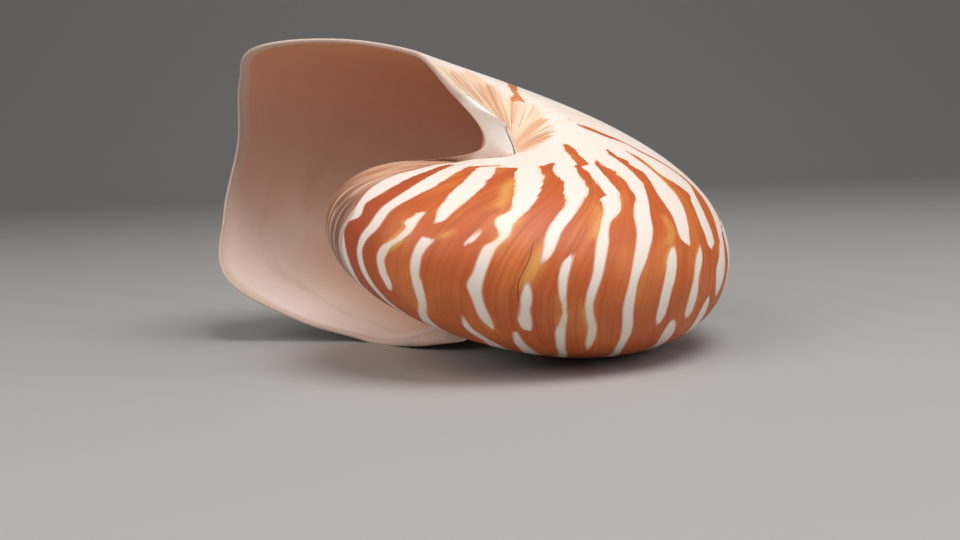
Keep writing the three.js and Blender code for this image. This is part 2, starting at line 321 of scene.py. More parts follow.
# Colour marks. Pale gaps part the brown flames of the flank, each gap an outline of (across, older side,
# younger side), with across below 0 on the lower side. The points of the marks in view were picked by eye
# on the photograph, and for many of them a scratch script worked out across and angle from the pixels.
PALE_GAPS = [
    [(0.7, -5.02, -4.9), (0.5, -5.011, -4.864), (0.4, -5.073, -4.887), (0.3, -5.082, -4.909),
     (0.25, -5.078, -4.931), (0.2, -5.06, -4.965), (0.187, -5.055, -4.975), (0.16, -5.045, -4.962),
     (0.134, -5.04, -4.945), (0.11, -5.04, -4.962), (0.09, -5.05, -5.005), (0.04, -5.082, -5.035),
     (-0.02, -5.09, -4.998), (-0.12, -5.06, -4.94), (-0.2, -5.03, -4.92), (-0.4, -4.92, -4.78),
     (-0.7, -4.75, -4.55)],
    [(0.7, -4.785, -4.53), (0.5, -4.744, -4.571), (0.4, -4.753, -4.598), (0.3, -4.78, -4.673),
     (0.2, -4.829, -4.749), (0.1, -4.851, -4.776), (0.05, -4.878, -4.82), (0, -4.885, -4.838),
     (-0.05, -4.873, -4.82), (-0.1, -4.847, -4.789), (-0.2, -4.771, -4.704), (-0.4, -4.63, -4.51),
     (-0.7, -4.5, -4.3)],
    [(0.235, -4.552, -4.535), (0.223, -4.583, -4.538), (0.199, -4.601, -4.547), (0.183, -4.625, -4.552),
     (0.157, -4.633, -4.558), (0.15, -4.61, -4.56), (0.123, -4.624, -4.569), (0.097, -4.645, -4.598),
     (0.053, -4.706, -4.648), (0.023, -4.726, -4.664), (0, -4.728, -4.673), (-0.05, -4.709, -4.651),
     (-0.1, -4.673, -4.62), (-0.135, -4.643, -4.632)],
    [(0.7, -4.395, -4.13), (0.5, -4.416, -4.233), (0.4, -4.447, -4.291), (0.3, -4.473, -4.358),
     (0.25, -4.478, -4.393), (0.22, -4.464, -4.411), (0.195, -4.461, -4.455)],
    [(0.13, -4.495, -4.43), (0.1, -4.512, -4.451), (0.05, -4.524, -4.469), (0, -4.522, -4.469),
     (-0.05, -4.5, -4.442), (-0.15, -4.469, -4.414), (-0.2, -4.478, -4.42), (-0.3, -4.478, -4.38),
     (-0.45, -4.4, -4.25), (-0.7, -4.3, -4.08)],
    [(0.215, -4.215, -4.207), (0.18, -4.25, -4.222), (0.15, -4.277, -4.25), (0.135, -4.283, -4.275)],
    [(0.7, -3.965, -3.65), (0.6, -3.984, -3.694), (0.5, -4.016, -3.798), (0.4, -4.047, -3.897),
     (0.3, -4.1, -4.001), (0.28, -4.14, -4.024), (0.25, -4.153, -4.051), (0.2, -4.127, -4.073),
     (0.17, -4.149, -4.104), (0.15, -4.184, -4.122), (0.12, -4.198, -4.14), (0.05, -4.216, -4.162),
     (0, -4.233, -4.167), (-0.05, -4.202, -4.149), (-0.15, -4.127, -4.078), (-0.187, -4.07, -4.06)],
    [(-0.14, -4.235, -4.225), (-0.2, -4.22, -4.176), (-0.25, -4.176, -4.113), (-0.3, -4.113, -4.033),
     (-0.45, -4, -3.85), (-0.7, -3.9, -3.66)],
    [(0.7, -3.41, -3.08), (0.65, -3.477, -3.14), (0.6, -3.595, -3.326), (0.5, -3.628, -3.448),
     (0.45, -3.684, -3.496), (0.4, -3.713, -3.585), (0.3, -3.826, -3.741), (0.25, -3.878, -3.807),
     (0.2, -3.906, -3.845), (0.15, -3.92, -3.878), (0.11, -3.933, -3.925)],
    [(0.05, -3.985, -3.972), (0, -3.994, -3.949), (-0.05, -3.989, -3.944), (-0.1, -3.982, -3.921),
     (-0.145, -3.945, -3.905)],
    [(-0.165, -3.985, -3.965), (-0.25, -3.94, -3.883), (-0.3, -3.897, -3.817), (-0.45, -3.76, -3.62),
     (-0.7, -3.6, -3.4)],
    [(0.165, -3.775, -3.768), (0.13, -3.826, -3.788), (0.05, -3.847, -3.807), (0, -3.831, -3.8),
     (-0.05, -3.805, -3.779), (-0.1, -3.807, -3.765), (-0.2, -3.76, -3.713), (-0.3, -3.67, -3.618),
     (-0.45, -3.54, -3.43), (-0.7, -3.36, -3.18)],
    [(0.7, -3.2, -2.9), (0.625, -3.24, -2.93), (0.605, -3.253, -3.05), (0.598, -3.257, -3.075),
     (0.565, -3.288, -3.134), (0.549, -3.295, -3.165), (0.54, -3.316, -3.18), (0.514, -3.339, -3.21),
     (0.471, -3.379, -3.254), (0.433, -3.398, -3.277), (0.412, -3.41, -3.305), (0.404, -3.47, -3.318),
     (0.383, -3.488, -3.349), (0.336, -3.527, -3.411), (0.3, -3.571, -3.5), (0.2, -3.656, -3.595),
     (0.1, -3.694, -3.647), (0, -3.72, -3.68), (-0.1, -3.67, -3.623), (-0.2, -3.609, -3.576),
     (-0.24, -3.565, -3.558)],
    [(0.7, -3, -2.4), (0.64, -2.98, -2.45), (0.62, -2.98, -2.62), (0.604, -2.985, -2.727),
     (0.597, -3.004, -2.74), (0.567, -3.048, -2.79), (0.544, -3.045, -2.837), (0.524, -3.044, -2.865),
     (0.516, -3.083, -2.877), (0.492, -3.1, -2.912), (0.458, -3.128, -2.968), (0.45, -3.145, -2.98),
     (0.416, -3.182, -3.045), (0.385, -3.218, -3.105), (0.36, -3.272, -3.15), (0.31, -3.352, -3.237),
     (0.25, -3.401, -3.297), (0.15, -3.486, -3.411), (0.05, -3.533, -3.486), (0, -3.541, -3.488),
     (-0.1, -3.5, -3.448), (-0.2, -3.439, -3.392), (-0.3, -3.344, -3.278), (-0.45, -3.2, -3.08),
     (-0.7, -2.98, -2.78)],
    [(0.188, -3.225, -3.217), (0.15, -3.292, -3.231), (0.1, -3.326, -3.259), (0, -3.356, -3.302),
     (-0.05, -3.349, -3.302), (-0.09, -3.32, -3.312)],
    [(-0.07, -3.245, -3.215), (-0.1, -3.245, -3.179), (-0.2, -3.17, -3.089), (-0.3, -3.06, -2.98),
     (-0.45, -2.95, -2.8), (-0.7, -2.73, -2.48)],
    [(0.7, -2.45, -2.2), (0.64, -2.5, -2.25), (0.622, -2.54, -2.3), (0.612, -2.614, -2.33),
     (0.594, -2.667, -2.4), (0.575, -2.727, -2.45), (0.55, -2.73, -2.52), (0.539, -2.735, -2.55),
     (0.53, -2.786, -2.57), (0.506, -2.8, -2.619), (0.471, -2.819, -2.67), (0.441, -2.886, -2.72),
     (0.383, -2.993, -2.8), (0.332, -3.052, -2.867), (0.286, -3.085, -2.94), (0.25, -3.118, -3),
     (0.2, -3.151, -3.075), (0.17, -3.118, -3.108)],
    [(0.167, -3.03, -3.02), (0.13, -3.099, -3.042), (0.05, -3.155, -3.108), (0, -3.172, -3.108),
     (-0.05, -3.165, -3.108), (-0.072, -3.14, -3.12)],
    [(-0.012, -3.005, -2.985), (-0.05, -3.028, -2.957), (-0.1, -3.014, -2.929), (-0.15, -2.97, -2.88),
     (-0.3, -2.85, -2.75), (-0.45, -2.7, -2.55), (-0.7, -2.5, -2.25)],
    [(0.62, -2.5, -2.15), (0.56, -2.49, -2.2), (0.542, -2.522, -2.28), (0.508, -2.547, -2.385),
     (0.479, -2.607, -2.4), (0.432, -2.687, -2.424), (0.406, -2.697, -2.44), (0.358, -2.69, -2.469),
     (0.316, -2.7, -2.535), (0.306, -2.75, -2.6), (0.278, -2.819, -2.69), (0.235, -2.89, -2.776),
     (0.187, -2.933, -2.837), (0.15, -2.953, -2.875), (0.136, -2.94, -2.93)],
    [(0.34, -2.43, -2.25), (0.292, -2.5, -2.28), (0.262, -2.558, -2.33), (0.233, -2.626, -2.4),
     (0.2, -2.7, -2.5), (0.176, -2.752, -2.58), (0.159, -2.785, -2.67), (0.13, -2.833, -2.735),
     (0.104, -2.875, -2.77), (0.062, -2.94, -2.8), (0.016, -2.935, -2.83), (-0.026, -2.898, -2.885)],
    [(0.3, -2.43, -2.2), (0.19, -2.43, -2.2), (0.176, -2.49, -2.2), (0.159, -2.62, -2.2),
     (0.129, -2.69, -2.2), (0.084, -2.715, -2.2), (0.062, -2.72, -2.2), (0.02, -2.745, -2.3),
     (-0.03, -2.765, -2.35), (-0.1, -2.6, -2.4)],
]
# Flame tips that run on over the pale shoulder, each an outline of (angle, inner side, outer side)
FLAME_TIPS = [
    [(-4.46, 0.61, 0.665), (-4.39, 0.645, 0.675), (-4.25, 0.668, 0.688), (-4.05, 0.692, 0.699)],
    [(-4.15, 0.6, 0.647), (-3.96, 0.61, 0.649), (-3.9, 0.648, 0.652)],
    [(-3.72, 0.56, 0.6), (-3.6, 0.6, 0.655), (-3.53, 0.63, 0.665), (-3.42, 0.667, 0.673)],
    [(-3.33, 0.6, 0.612), (-3.27, 0.603, 0.62), (-3.2, 0.604, 0.642), (-3.14, 0.606, 0.672),
     (-3.09, 0.628, 0.686), (-3.01, 0.664, 0.71), (-2.9, 0.69, 0.73), (-2.79, 0.718, 0.745),
     (-2.69, 0.742, 0.75)],
]
# Brown marks apart from the flames: a long thin line that widens to a flame, a line by the rim, and a
# forked patch on the back of the whorl, each an outline of (across, older side, younger side)
BROWN_MARKS = [
    [(0.704, -1.9, -1.88), (0.69, -2.065, -2.015), (0.655, -2.185, -2.085), (0.616, -2.275, -2.18),
     (0.565, -2.305, -2.255), (0.502, -2.387, -2.35), (0.432, -2.424, -2.39), (0.358, -2.469, -2.433),
     (0.33, -2.5, -2.455), (0.312, -2.54, -2.475), (0.3, -2.62, -2.495), (0.28, -2.685, -2.53),
     (0.262, -2.72, -2.558), (0.233, -2.778, -2.626), (0.2, -2.822, -2.702), (0.159, -2.868, -2.781),
     (0.137, -2.886, -2.8)],
    [(0.19, -2.46, -2.43), (0.176, -2.54, -2.49), (0.159, -2.67, -2.62), (0.129, -2.735, -2.69),
     (0.084, -2.765, -2.715), (0.02, -2.8, -2.745), (-0.03, -2.85, -2.765)],
    [(0.6, -1.14, -1.03), (0.665, -1.16, -1.075), (0.7, -1.18, -1.085), (0.734, -1.215, -1.125),
     (0.75, -1.3, -1.185), (0.76, -1.345, -1.2), (0.766, -1.385, -1.2), (0.772, -1.41, -1.385)],
    [(0.755, -1.24, -1.18), (0.768, -1.26, -1.16), (0.778, -1.235, -1.15), (0.79, -1.19, -1.165)],
]
# Places where the pigment is thin and the brown turns amber
AMBER_MARKS = [
    [(0.2, -3.9, -3.85), (0.16, -3.95, -3.885), (0.11, -3.985, -3.91), (0.05, -4.01, -3.95),
     (0.02, -4.01, -3.97)],
    [(0.185, -4.36, -4.34), (0.16, -4.4, -4.355), (0.14, -4.425, -4.4)],
    [(0.54, -4.04, -3.99), (0.47, -4.12, -4.04), (0.4, -4.13, -4.06), (0.33, -4.16, -4.11)],
    [(0.29, -3.17, -3.13), (0.23, -3.21, -3.16), (0.19, -3.28, -3.22)],
    [(0.36, -3.55, -3.5), (0.28, -3.64, -3.57), (0.22, -3.68, -3.62)],
]
# The pale shoulder begins at this share of the section, by the angle; the crack is one line down the flank
SHOULDER_TURN = [-6.4, -3.0, -2.8, -2.6, -2.5, -2.45, -2.42]
SHOULDER = [0.655, 0.655, 0.64, 0.63, 0.57, 0.5, -0.05]
CRACK_ACROSS = [-0.06, -0.01, 0.036, 0.083, 0.13, 0.156, 0.26]
CRACK_TURN = [-3.99, -4.006, -4.015, -3.998, -3.976, -3.97, -3.935]
# Stained fan round the slit, by the heading from the slit in radians: its reach in millimetres, and the
# tan patches in it, each an outline of (reach, first heading, last heading)
FAN_HEADING = [-3.2, -2.89, -2.22, -1.9, -1.57, -1.33, -1.17, -1.01, -0.89, -0.81, -0.71, -0.52, -0.34,
               -0.04, 0.6]
FAN_REACH = [5, 6.3, 10.2, 13.2, 16.5, 19, 19.7, 19.4, 20.2, 22.6, 25.1, 29.1, 26.3, 27.2, 27]
FAN_ASIDE = 0.8
FAN_START = (-3.2, -3.0)
FAN_CUT = 30
TAN_PATCHES = [
    [(5, -0.62, -0.4), (12, -0.6, -0.42), (18, -0.6, -0.47), (21, -0.6, -0.5), (23.5, -0.545, -0.53)],
    [(5, -0.86, -0.6), (12, -0.83, -0.58), (18, -0.79, -0.59), (21, -0.77, -0.6), (25, -0.71, -0.69)],
    [(13, -0.34, -0.2), (18, -0.33, -0.17), (23, -0.29, -0.14), (26.5, -0.25, -0.23)],
    [(9, -1.06, -0.94), (14, -1.06, -0.96), (19.5, -1.04, -0.97)],
    [(2, -1.8, -1.35), (8, -1.72, -1.4), (13, -1.66, -1.45), (16, -1.6, -1.5)],
    [(1.5, -2.7, -1.9), (6, -2.5, -1.95), (9, -2.3, -2.0), (10.5, -2.1, -2.05)],
]
TAN_START = -3.1
RAY_RADIUS = 14.0
# How far a stripe runs ahead of the radial plane, as (across, angle), and the share by which the slant
# shortens the way from side to side of a stripe
STRIPE_SLANT = [(0, 0), (0.1, 0.036), (0.2, 0.115), (0.3, 0.225), (0.4, 0.38), (0.5, 0.525), (0.6, 0.665),
                (0.8, 0.8), (1, 0.9)]
SLANT_SHARE = 0.85


def outline(x, y, knots):
    """The ways in from an outline's two sides and from its two ends, each negative outside it."""
    at, low, high = np.array(sorted(knots)).T
    below = y - curve_through(x, at, low, steady=True)
    above = curve_through(x, at, high, steady=True) - y
    return below, above, x - at[0], at[-1] - x


def surface_scale(angle, across):
    """Millimetres for a radian round the coil, and for the whole half section, at a point."""
    size = VENTER_RADIUS * grow(angle)
    return size * section(np.abs(across))[..., 0] * SLANT_SHARE, size * SECTION_LENGTH


def mark_depth(angle, across, knots):
    """Millimetres inside an outline given by across, negative outside it."""
    around, along_section = surface_scale(angle, across)
    older, younger, low_end, high_end = outline(across, angle, knots)
    return np.minimum(np.minimum(older, younger) * around, np.minimum(low_end, high_end) * along_section)


def brown_depth(angle, across):
    """Millimetres from the nearest stripe edge, positive in the brown: gaps and shoulder are cut out
    of an all brown whorl, then flame tips and lone marks are put back."""
    around, along_section = surface_scale(angle, across)
    pale = (np.abs(across) - np.interp(angle, SHOULDER_TURN, SHOULDER)) * along_section
    for gap in PALE_GAPS:
        pale = np.maximum(pale, mark_depth(angle, across, gap))
    for tip in FLAME_TIPS:
        inner, outer, start, stop = outline(angle, across, tip)
        pale = np.minimum(pale, -np.minimum(np.minimum(inner, outer) * along_section,
                                            np.minimum(start, stop) * around))
    for mark in BROWN_MARKS + late_flames:
        pale = np.minimum(pale, -mark_depth(angle, across, mark))
    return -pale


# Past the last flame on the side in view the stripes thin out over the lower side: each later one starts
# further on, is narrower and shorter, and tapers to both ends
LATE_FLAMES = 4
LATE_START, LATE_APART = -2.37, 0.17
LATE_WIDE, LATE_THINS = 0.05, 0.011
LATE_FROM, LATE_FROM_STEP = 0.02, 0.05
LATE_TO, LATE_TO_STEP = 0.62, 0.06
LATE_SLANT = 0.9
LATE_KNOTS = 7
slant_across, slant_ahead = np.array(STRIPE_SLANT).T
late_flames = []
for k in range(LATE_FLAMES):
    flame = np.linspace(LATE_FROM + LATE_FROM_STEP * k, LATE_TO - LATE_TO_STEP * k, LATE_KNOTS)
    taper = 1 - np.abs(np.linspace(-1, 1, LATE_KNOTS)) ** 3
    wide = (LATE_WIDE - LATE_THINS * k) * (1 + flame) * taper
    course = LATE_START + LATE_APART * k + LATE_SLANT * np.interp(flame, slant_across, slant_ahead)
    late_flames.append(np.stack([-flame, course - wide, course + wide], -1).tolist())

nose_across, nose_turn, _ = np.array(sorted(PALE_GAPS[0])).T

# Growth lines lean with the stripes on the earlier whorl, less on the nose, and with the lip near the lip
NOSE_LEAN = 0.35
LEAN_FULL = (-5.0, -3.5)
LEAN_TO_LIP = (-1.3, -0.3)


def growth_run(angle, across):
    """Length grown so far at a point: the venter arc to the coil middle, along leaning growth lines."""
    lean = NOSE_LEAN + (1 - NOSE_LEAN) * ease(angle, *LEAN_FULL)
    young = curve_through(np.abs(across), slant_across, slant_ahead) * lean
    late = edge_angle(across) - EDGE_AHEAD[0]
    ahead = young + (late - young) * ease(angle, *LEAN_TO_LIP)
    return VENTER_RADIUS / GROWTH_RATE * grow(angle - ahead)


# Reach of the marks, as shares of the section and angles: where the upper flank, the stained nose, the
# young flames and the plain back begin and end. Distances in millimetres stop counting past FAR.
FAR = 9.0
STRIPE_FAR = 12.0
LINE_SCALE = 55
CRACK_FADE_IN = (-0.06, 0)
CRACK_FADE_OUT = (0.15, 0.22)
AMBER_EDGE = (-1.2, 1.5)
UPPER_FLANK = (0.2, 0.5)
NOSE_EDGE = (-0.045, 0.015)
NOSE_WIDER, NOSE_NARROWS = 0.025, (0.1, 0.18)
NOSE_TINT, TINT_TOP, TINT_EDGE = 0.5, (0.03, 0.1), (0.03, 0.07)
NOSE_TOP = (0.12, 0.36)
DARK_EDGE_TURN, DARK_EDGE_TOP = (-5.4, -5.2), (0.1, 0.3)
YOUNG_FLAMES = (-5.0, -4.5)
PLAIN_BACK = (-2.4, -1.6)


def marks(angle, across, inside, deep, callus, lip):
    """Values that the material reads for one sheet of points: places in millimetres, shares from 0 to 1."""
    angle, across, inside, deep, callus, lip = np.broadcast_arrays(angle, across, inside, deep, callus, lip)
    side = np.abs(across)
    size = VENTER_RADIUS * grow(angle)
    crack = (angle - curve_through(across, CRACK_ACROSS, CRACK_TURN)) * size * section(side)[..., 0]
    crack = np.where((across > CRACK_ACROSS[0]) & (across < CRACK_ACROSS[-1]), crack, FAR)
    amber = np.max([mark_depth(angle, across, mark) for mark in AMBER_MARKS], axis=0)
    away = outside(angle, side, 1.0) - place(0.0, 0.0, 0.0, FAN_ASIDE)
    reach = np.hypot(away[..., 0], away[..., 1])
    heading = angle + (np.arctan2(away[..., 1], away[..., 0]) - angle + np.pi) % TURN - np.pi
    fan = np.interp(heading, FAN_HEADING, FAN_REACH) - reach - FAN_CUT * (1 - ease(angle, *FAN_START))
    tan = -FAR * np.ones_like(reach)
    for patch in TAN_PATCHES:
        before, after, start, stop = outline(reach, heading, patch)
        tan = np.maximum(tan, np.minimum(np.minimum(before, after) * reach, np.minimum(start, stop)))
    tan = np.where(angle > TAN_START, tan, -FAR)
    past_nose = angle - curve_through(across, nose_across, nose_turn)
    nose = 1 - ease(past_nose - NOSE_WIDER * (1 - ease(across, *NOSE_NARROWS)), *NOSE_EDGE)
    nose = np.maximum(nose, NOSE_TINT * (1 - ease(across, *TINT_TOP)) * (1 - ease(past_nose, *TINT_EDGE)))
    flat = np.zeros_like(across)
    return {
        "lines": np.stack([growth_run(angle, across), across * SECTION_LENGTH * LINE_SCALE, flat], -1),
        "stripe": np.clip(brown_depth(angle, across), -STRIPE_FAR, STRIPE_FAR),
        "crack": np.clip(crack, -FAR, FAR),
        "crack_run": ease(across, *CRACK_FADE_IN) * (1 - ease(across, *CRACK_FADE_OUT)),
        "amber": ease(amber, *AMBER_EDGE),
        "upper": ease(side, *UPPER_FLANK),
        "nose": nose,
        "nose_top": nose * ease(across, *NOSE_TOP),
        "nose_edge": (1 - ease(angle, *DARK_EDGE_TURN)) * (1 - ease(across, *DARK_EDGE_TOP)),
        "young": 1 - ease(angle, *YOUNG_FLAMES),
        "back": ease(angle, *PLAIN_BACK),
        "ray": np.stack([heading * RAY_RADIUS, reach, flat], -1),
        "fan": np.clip(fan, -FAR, FAR),
        "tan": np.clip(tan, -FAR, FAR),
        "inside": inside,
        "deep": deep,
        "callus": callus,
        "lip": lip,
    }


# Callus, lip and chamber colours: shares of the section, of the turn and of the strip's width, and depths
# in millimetres behind the lip. The strip's callus is white on the upper side only and its lower side is
# warm with painted shade; the rim by the slit is white on both. The chamber takes painted shade deeper in
# and on its roof.
LIP_FADE = (HORN_END, 0.93)
CALLUS_ON_WHORL = (0.48, 0.64)
STRIP_LOWER, STRIP_UPPER = (0, 0.3), (0.5, 1)
# Share of painted shade on the lower side of the strip, near the floor
STRIP_SHADE_SHARE = 0.4
RIM_ACROSS, RIM_TURN = (0.88, 0.94), (0.985, 1)
SLIT_HEAD_ACROSS, SLIT_HEAD_TURN = (0.94, 0.98), (0.93, 0.96)
MOUTH_TURN, MOUTH_ACROSS = (0, 0.1), (0.42, 0.6)
# Painted shade in the chamber: the roof on the upper side and the depths behind the lip take a share of the
# shade colour
ROOF_SHADE_SHARE, ROOF_ACROSS, ROOF_DEPTH = 0.8, (-0.5, 0.4), (0, 3)
CHAMBER_SHADE_SHARE, CHAMBER_DEPTH = 0.55, (8, 80)
CALLUS_DEPTH = (8, 18)
LIP_DEPTH = (0, 2.5)
callus_share = np.where(is_lip, ease(edge_across, *LIP_FADE), ease(edge_across, *CALLUS_ON_WHORL))
callus_share = np.concatenate([callus_share, np.zeros(len(callus_share) - 1)])
lip_mark = both_sides(np.where(is_lip, 1 - ease(edge_across, *LIP_FADE), 0))
strip_step = np.linspace(0, 1, LIP_ROWS + 1)[:, None]
is_lower = outer_edge[:, 2] < 0
upper_inside = ease(strip_step, *STRIP_UPPER) * (1 - callus_share)
strip_inside = np.where(is_lower, ease(strip_step, *STRIP_LOWER), upper_inside) * (1 - lip_mark)
lip_rim = ease(out_side, *RIM_ACROSS) * ease(turn_share, *RIM_TURN)
slit_head = ease(out_side, *SLIT_HEAD_ACROSS) * ease(turn_share, *SLIT_HEAD_TURN)
callus_rim = np.maximum(np.maximum(lip_rim, slit_head), out_side == 1)
mouth_inside = (1 - ease(turn_share, *MOUTH_TURN)) * (1 - ease(out_side, *MOUTH_ACROSS))
inner_depth = VENTER_RADIUS * (ring_angle - inner_angle)
# Painted shade: darker and warmer over the roof and deeper into the chamber
roof_shade = ROOF_SHADE_SHARE * ease(ring_across, *ROOF_ACROSS) * ease(inner_depth, *ROOF_DEPTH)
painted_chamber_shade = np.maximum(CHAMBER_SHADE_SHARE * ease(inner_depth, *CHAMBER_DEPTH), roof_shade)
no_dorsal = np.zeros(len(ring_angle) - len(lip_angle))
ring_callus = np.concatenate([callus_share, no_dorsal]) * (1 - ease(inner_depth, *CALLUS_DEPTH))
ring_lip = np.concatenate([lip_mark, no_dorsal]) * (1 - ease(inner_depth, *LIP_DEPTH))
strip_across = np.broadcast_to(both_sides(edge_across, -1), strip_inside.shape)
inner_across = np.broadcast_to(ring_across, inner_angle.shape)
out_marks = marks(out_angle, out_across, mouth_inside, 0.0, callus_rim, 0.0)
# Painted shade on the strip's lower side, in the chamber's shade colour
strip_marks = marks(both_sides(edge_turn), strip_across, strip_inside, STRIP_SHADE_SHARE * is_lower * strip_inside,
                    callus_share, lip_mark * ease(strip_step, *STRIP_LOWER))
inner_marks = marks(inner_angle, inner_across, 1.0, painted_chamber_shade, ring_callus, ring_lip)
sheets = [(out_points, False, out_marks),
          (strip_points, False, strip_marks),
          (inner_points, True, inner_marks)]


def sheet_quads(rows, count, first, ring):
    """Corner numbers of a grid's four-sided faces, joined round when the sheet is a ring."""
    i = np.arange(rows - 1)[:, None]
    j = np.arange(count if ring else count - 1)[None]
    k = (j + 1) % count
    corners = [i * count + j, i * count + k, (i + 1) * count + k, (i + 1) * count + j]
    return np.stack(corners, -1).reshape(-1, 4) + first


SLIT_SPOTS = 50
slit_shadow = np.concatenate([slit_point(np.linspace(0, 1, SLIT_SPOTS), side) for side in (1.0, -1.0)])
points, quads, values, first = [], [], {}, 0
for sheet, ring, mark in sheets:
    rows, count = sheet.shape[:2]
    mark["slit"] = np.min([np.linalg.norm(sheet - spot, axis=-1) for spot in slit_shadow], axis=0)
    points.append(sheet.reshape(-1, 3))
    quads.append(sheet_quads(rows, count, first, ring))
    for name, value in mark.items():
        values.setdefault(name, []).append(value.reshape(rows * count, -1))
    first += rows * count
points = np.concatenate(points)
quads = np.concatenate(quads)

# Points that two sheets share become one, and faces that shrink to a line are dropped
WELD_STEPS = 1e4
cells = np.round(points * WELD_STEPS).astype(np.int64)
_, keep, same = np.unique(cells, axis=0, return_index=True, return_inverse=True)
points = points[keep]
quads = same.reshape(-1)[quads]
short = (np.linalg.norm(points[quads[:, 0]] - points[quads[:, 2]], axis=1)
         <= np.linalg.norm(points[quads[:, 1]] - points[quads[:, 3]], axis=1))
triangles = np.where(short[:, None], quads[:, [0, 1, 2, 0, 2, 3]], quads[:, [0, 1, 3, 1, 2, 3]])
triangles = triangles.reshape(-1, 3)
whole = (triangles != np.roll(triangles, 1, axis=1)).all(axis=1)
triangles = triangles[whole]

cos_x, cos_y, cos_z = np.cos([LEAN_X, LEAN_Y, SPIN_Z])
sin_x, sin_y, sin_z = np.sin([LEAN_X, LEAN_Y, SPIN_Z])
about_z = np.array([[cos_z, -sin_z, 0], [sin_z, cos_z, 0], [0, 0, 1]])
about_x = np.array([[1, 0, 0], [0, cos_x, -sin_x], [0, sin_x, cos_x]])
about_y = np.array([[cos_y, 0, sin_y], [0, 1, 0], [-sin_y, 0, cos_y]])
points = points @ (about_y @ about_x @ about_z).T + COIL_AT
points[:, 2] = np.maximum(points[:, 2], 0)

mesh = bpy.data.meshes.new("nautilus_shell_grown")
mesh.from_pydata((points * MM).tolist(), [], triangles.tolist())
mesh.polygons.foreach_set("use_smooth", np.ones(len(mesh.polygons), bool))
for name, parts in values.items():
    value = np.concatenate(parts)[keep]
    kind, field = ("FLOAT_VECTOR", "vector") if value.shape[1] == 3 else ("FLOAT", "value")
    mesh.attributes.new(name, kind, "POINT").data.foreach_set(field, value.astype(np.float32).ravel())
mesh.update()
shell = bpy.data.objects.new("nautilus_shell_grown", mesh)
bpy.context.scene.collection.objects.link(shell)


def linear(hex_colour):
    """sRGB hex to linear RGBA, by the sRGB transfer curve."""
    srgb = np.array([int(hex_colour[k:k + 2], 16) for k in (1, 3, 5)]) / 255
    return (*np.where(srgb <= 0.04045, srgb / 12.92, ((srgb + 0.055) / 1.055) ** 2.4), 1.0)


# Aragonite under a thin horny skin: satin outside with flame pigment laid in bands along the growth
# lines, stained where the mantle rubbed, porcelain white on the callus and pale in the chamber, which
# painted shade turns warm brown deep inside, on its roof and on the lower strip.
CHALK = "#F6EBE3"
CREAM = "#F6DFC2"
GROWTH_LINE = "#D9C2AF"
FLAME = "#C9632C"
FLAME_DEEP = "#B2501F"
FLAME_WARM = "#D67638"
AMBER = "#E2A055"
RUST = "#B0502F"
MAUVE = "#A98476"
MAUVE_DEEP = "#86594A"
STAIN_PALE = "#EBD3BF"
STAIN_BROWN = "#A4623F"
STAIN_TAN = "#DDB092"
PEACH = "#F3D3BA"
TAN = "#E0AB88"
UMBER = "#B98A68"
CHAMBER = "#F5E9E1"
# Painted shade colour of the chamber, warm like light bounced inside it
CHAMBER_SHADE = "#DE8A4E"
CHAMBER_STREAK = "#D9B092"
CALLUS_WHITE = "#FAF6F3"
LIP_BEIGE = "#D6C0B3"
CRACK_BROWN = "#6E3418"
# Painted shadow in the slit
SLIT_SHADOW = "#4E403C"

aragonite = bpy.data.materials.new("aragonite_shell")
aragonite.use_nodes = True
tree = aragonite.node_tree
surface = tree.nodes["Principled BSDF"]


def add(kind, settings, inputs, output=0):
    """One node with its settings; each input is a plain value or the socket that feeds it."""
    node = tree.nodes.new("ShaderNode" + kind)
    for name, value in settings.items():
        setattr(node, name, value)
    for key, value in inputs.items():
        if isinstance(value, bpy.types.NodeSocket):
            tree.links.new(value, node.inputs[key])
        else:
            node.inputs[key].default_value = value
    return node.outputs[output]


VECTORS = ("lines", "ray")
SMOOTH = {"interpolation_type": "SMOOTHSTEP"}
read = {name: add("Attribute", {"attribute_name": name}, {}, "Vector" if name in VECTORS else "Fac")
        for name in values}

# Noise drawn out along the growth lines, or along the rays of the fan: width and length of a streak in
# millimetres, and fineness. Real growth lines are finer than half a millimetre; these are drawn coarser.
STREAKS = {
    "ragged": ("lines", 1.1, 6.0, 2.0),
    "toothed": ("lines", 0.45, 3.0, 2.0),
    "fibre": ("lines", 0.9, 40.0, 3.0),
    "cloud": ("lines", 10.0, 16.0, 2.0),
    "band": ("lines", 3.0, 60.0, 2.0),
    "stain": ("lines", 1.3, 22.0, 3.0),
    "stain_two": ("lines", 1.9, 30.0, 3.0),
    "stain_line": ("lines", 0.8, 26.0, 2.0),
    "fan_ray": ("ray", 1.7, 45.0, 1.0),
    "fan_ray_two": ("ray", 1.1, 30.0, 2.0),
    "fan_line": ("ray", 0.8, 24.0, 1.0),
    "whole": ("lines", 1.0, 1.0, 0.0),
}
NOISE_APART = 7.3
streak = {}
for layer, (name, (along, wide, long, detail)) in enumerate(STREAKS.items()):
    at = add("VectorMath", {"operation": "MULTIPLY_ADD"},
             {0: read[along], 1: (1 / wide, 1 / long, 1), 2: (0, 0, NOISE_APART * layer)})
    streak[name] = add("TexNoise", {}, {"Vector": at, "Scale": 1.0, "Detail": detail})

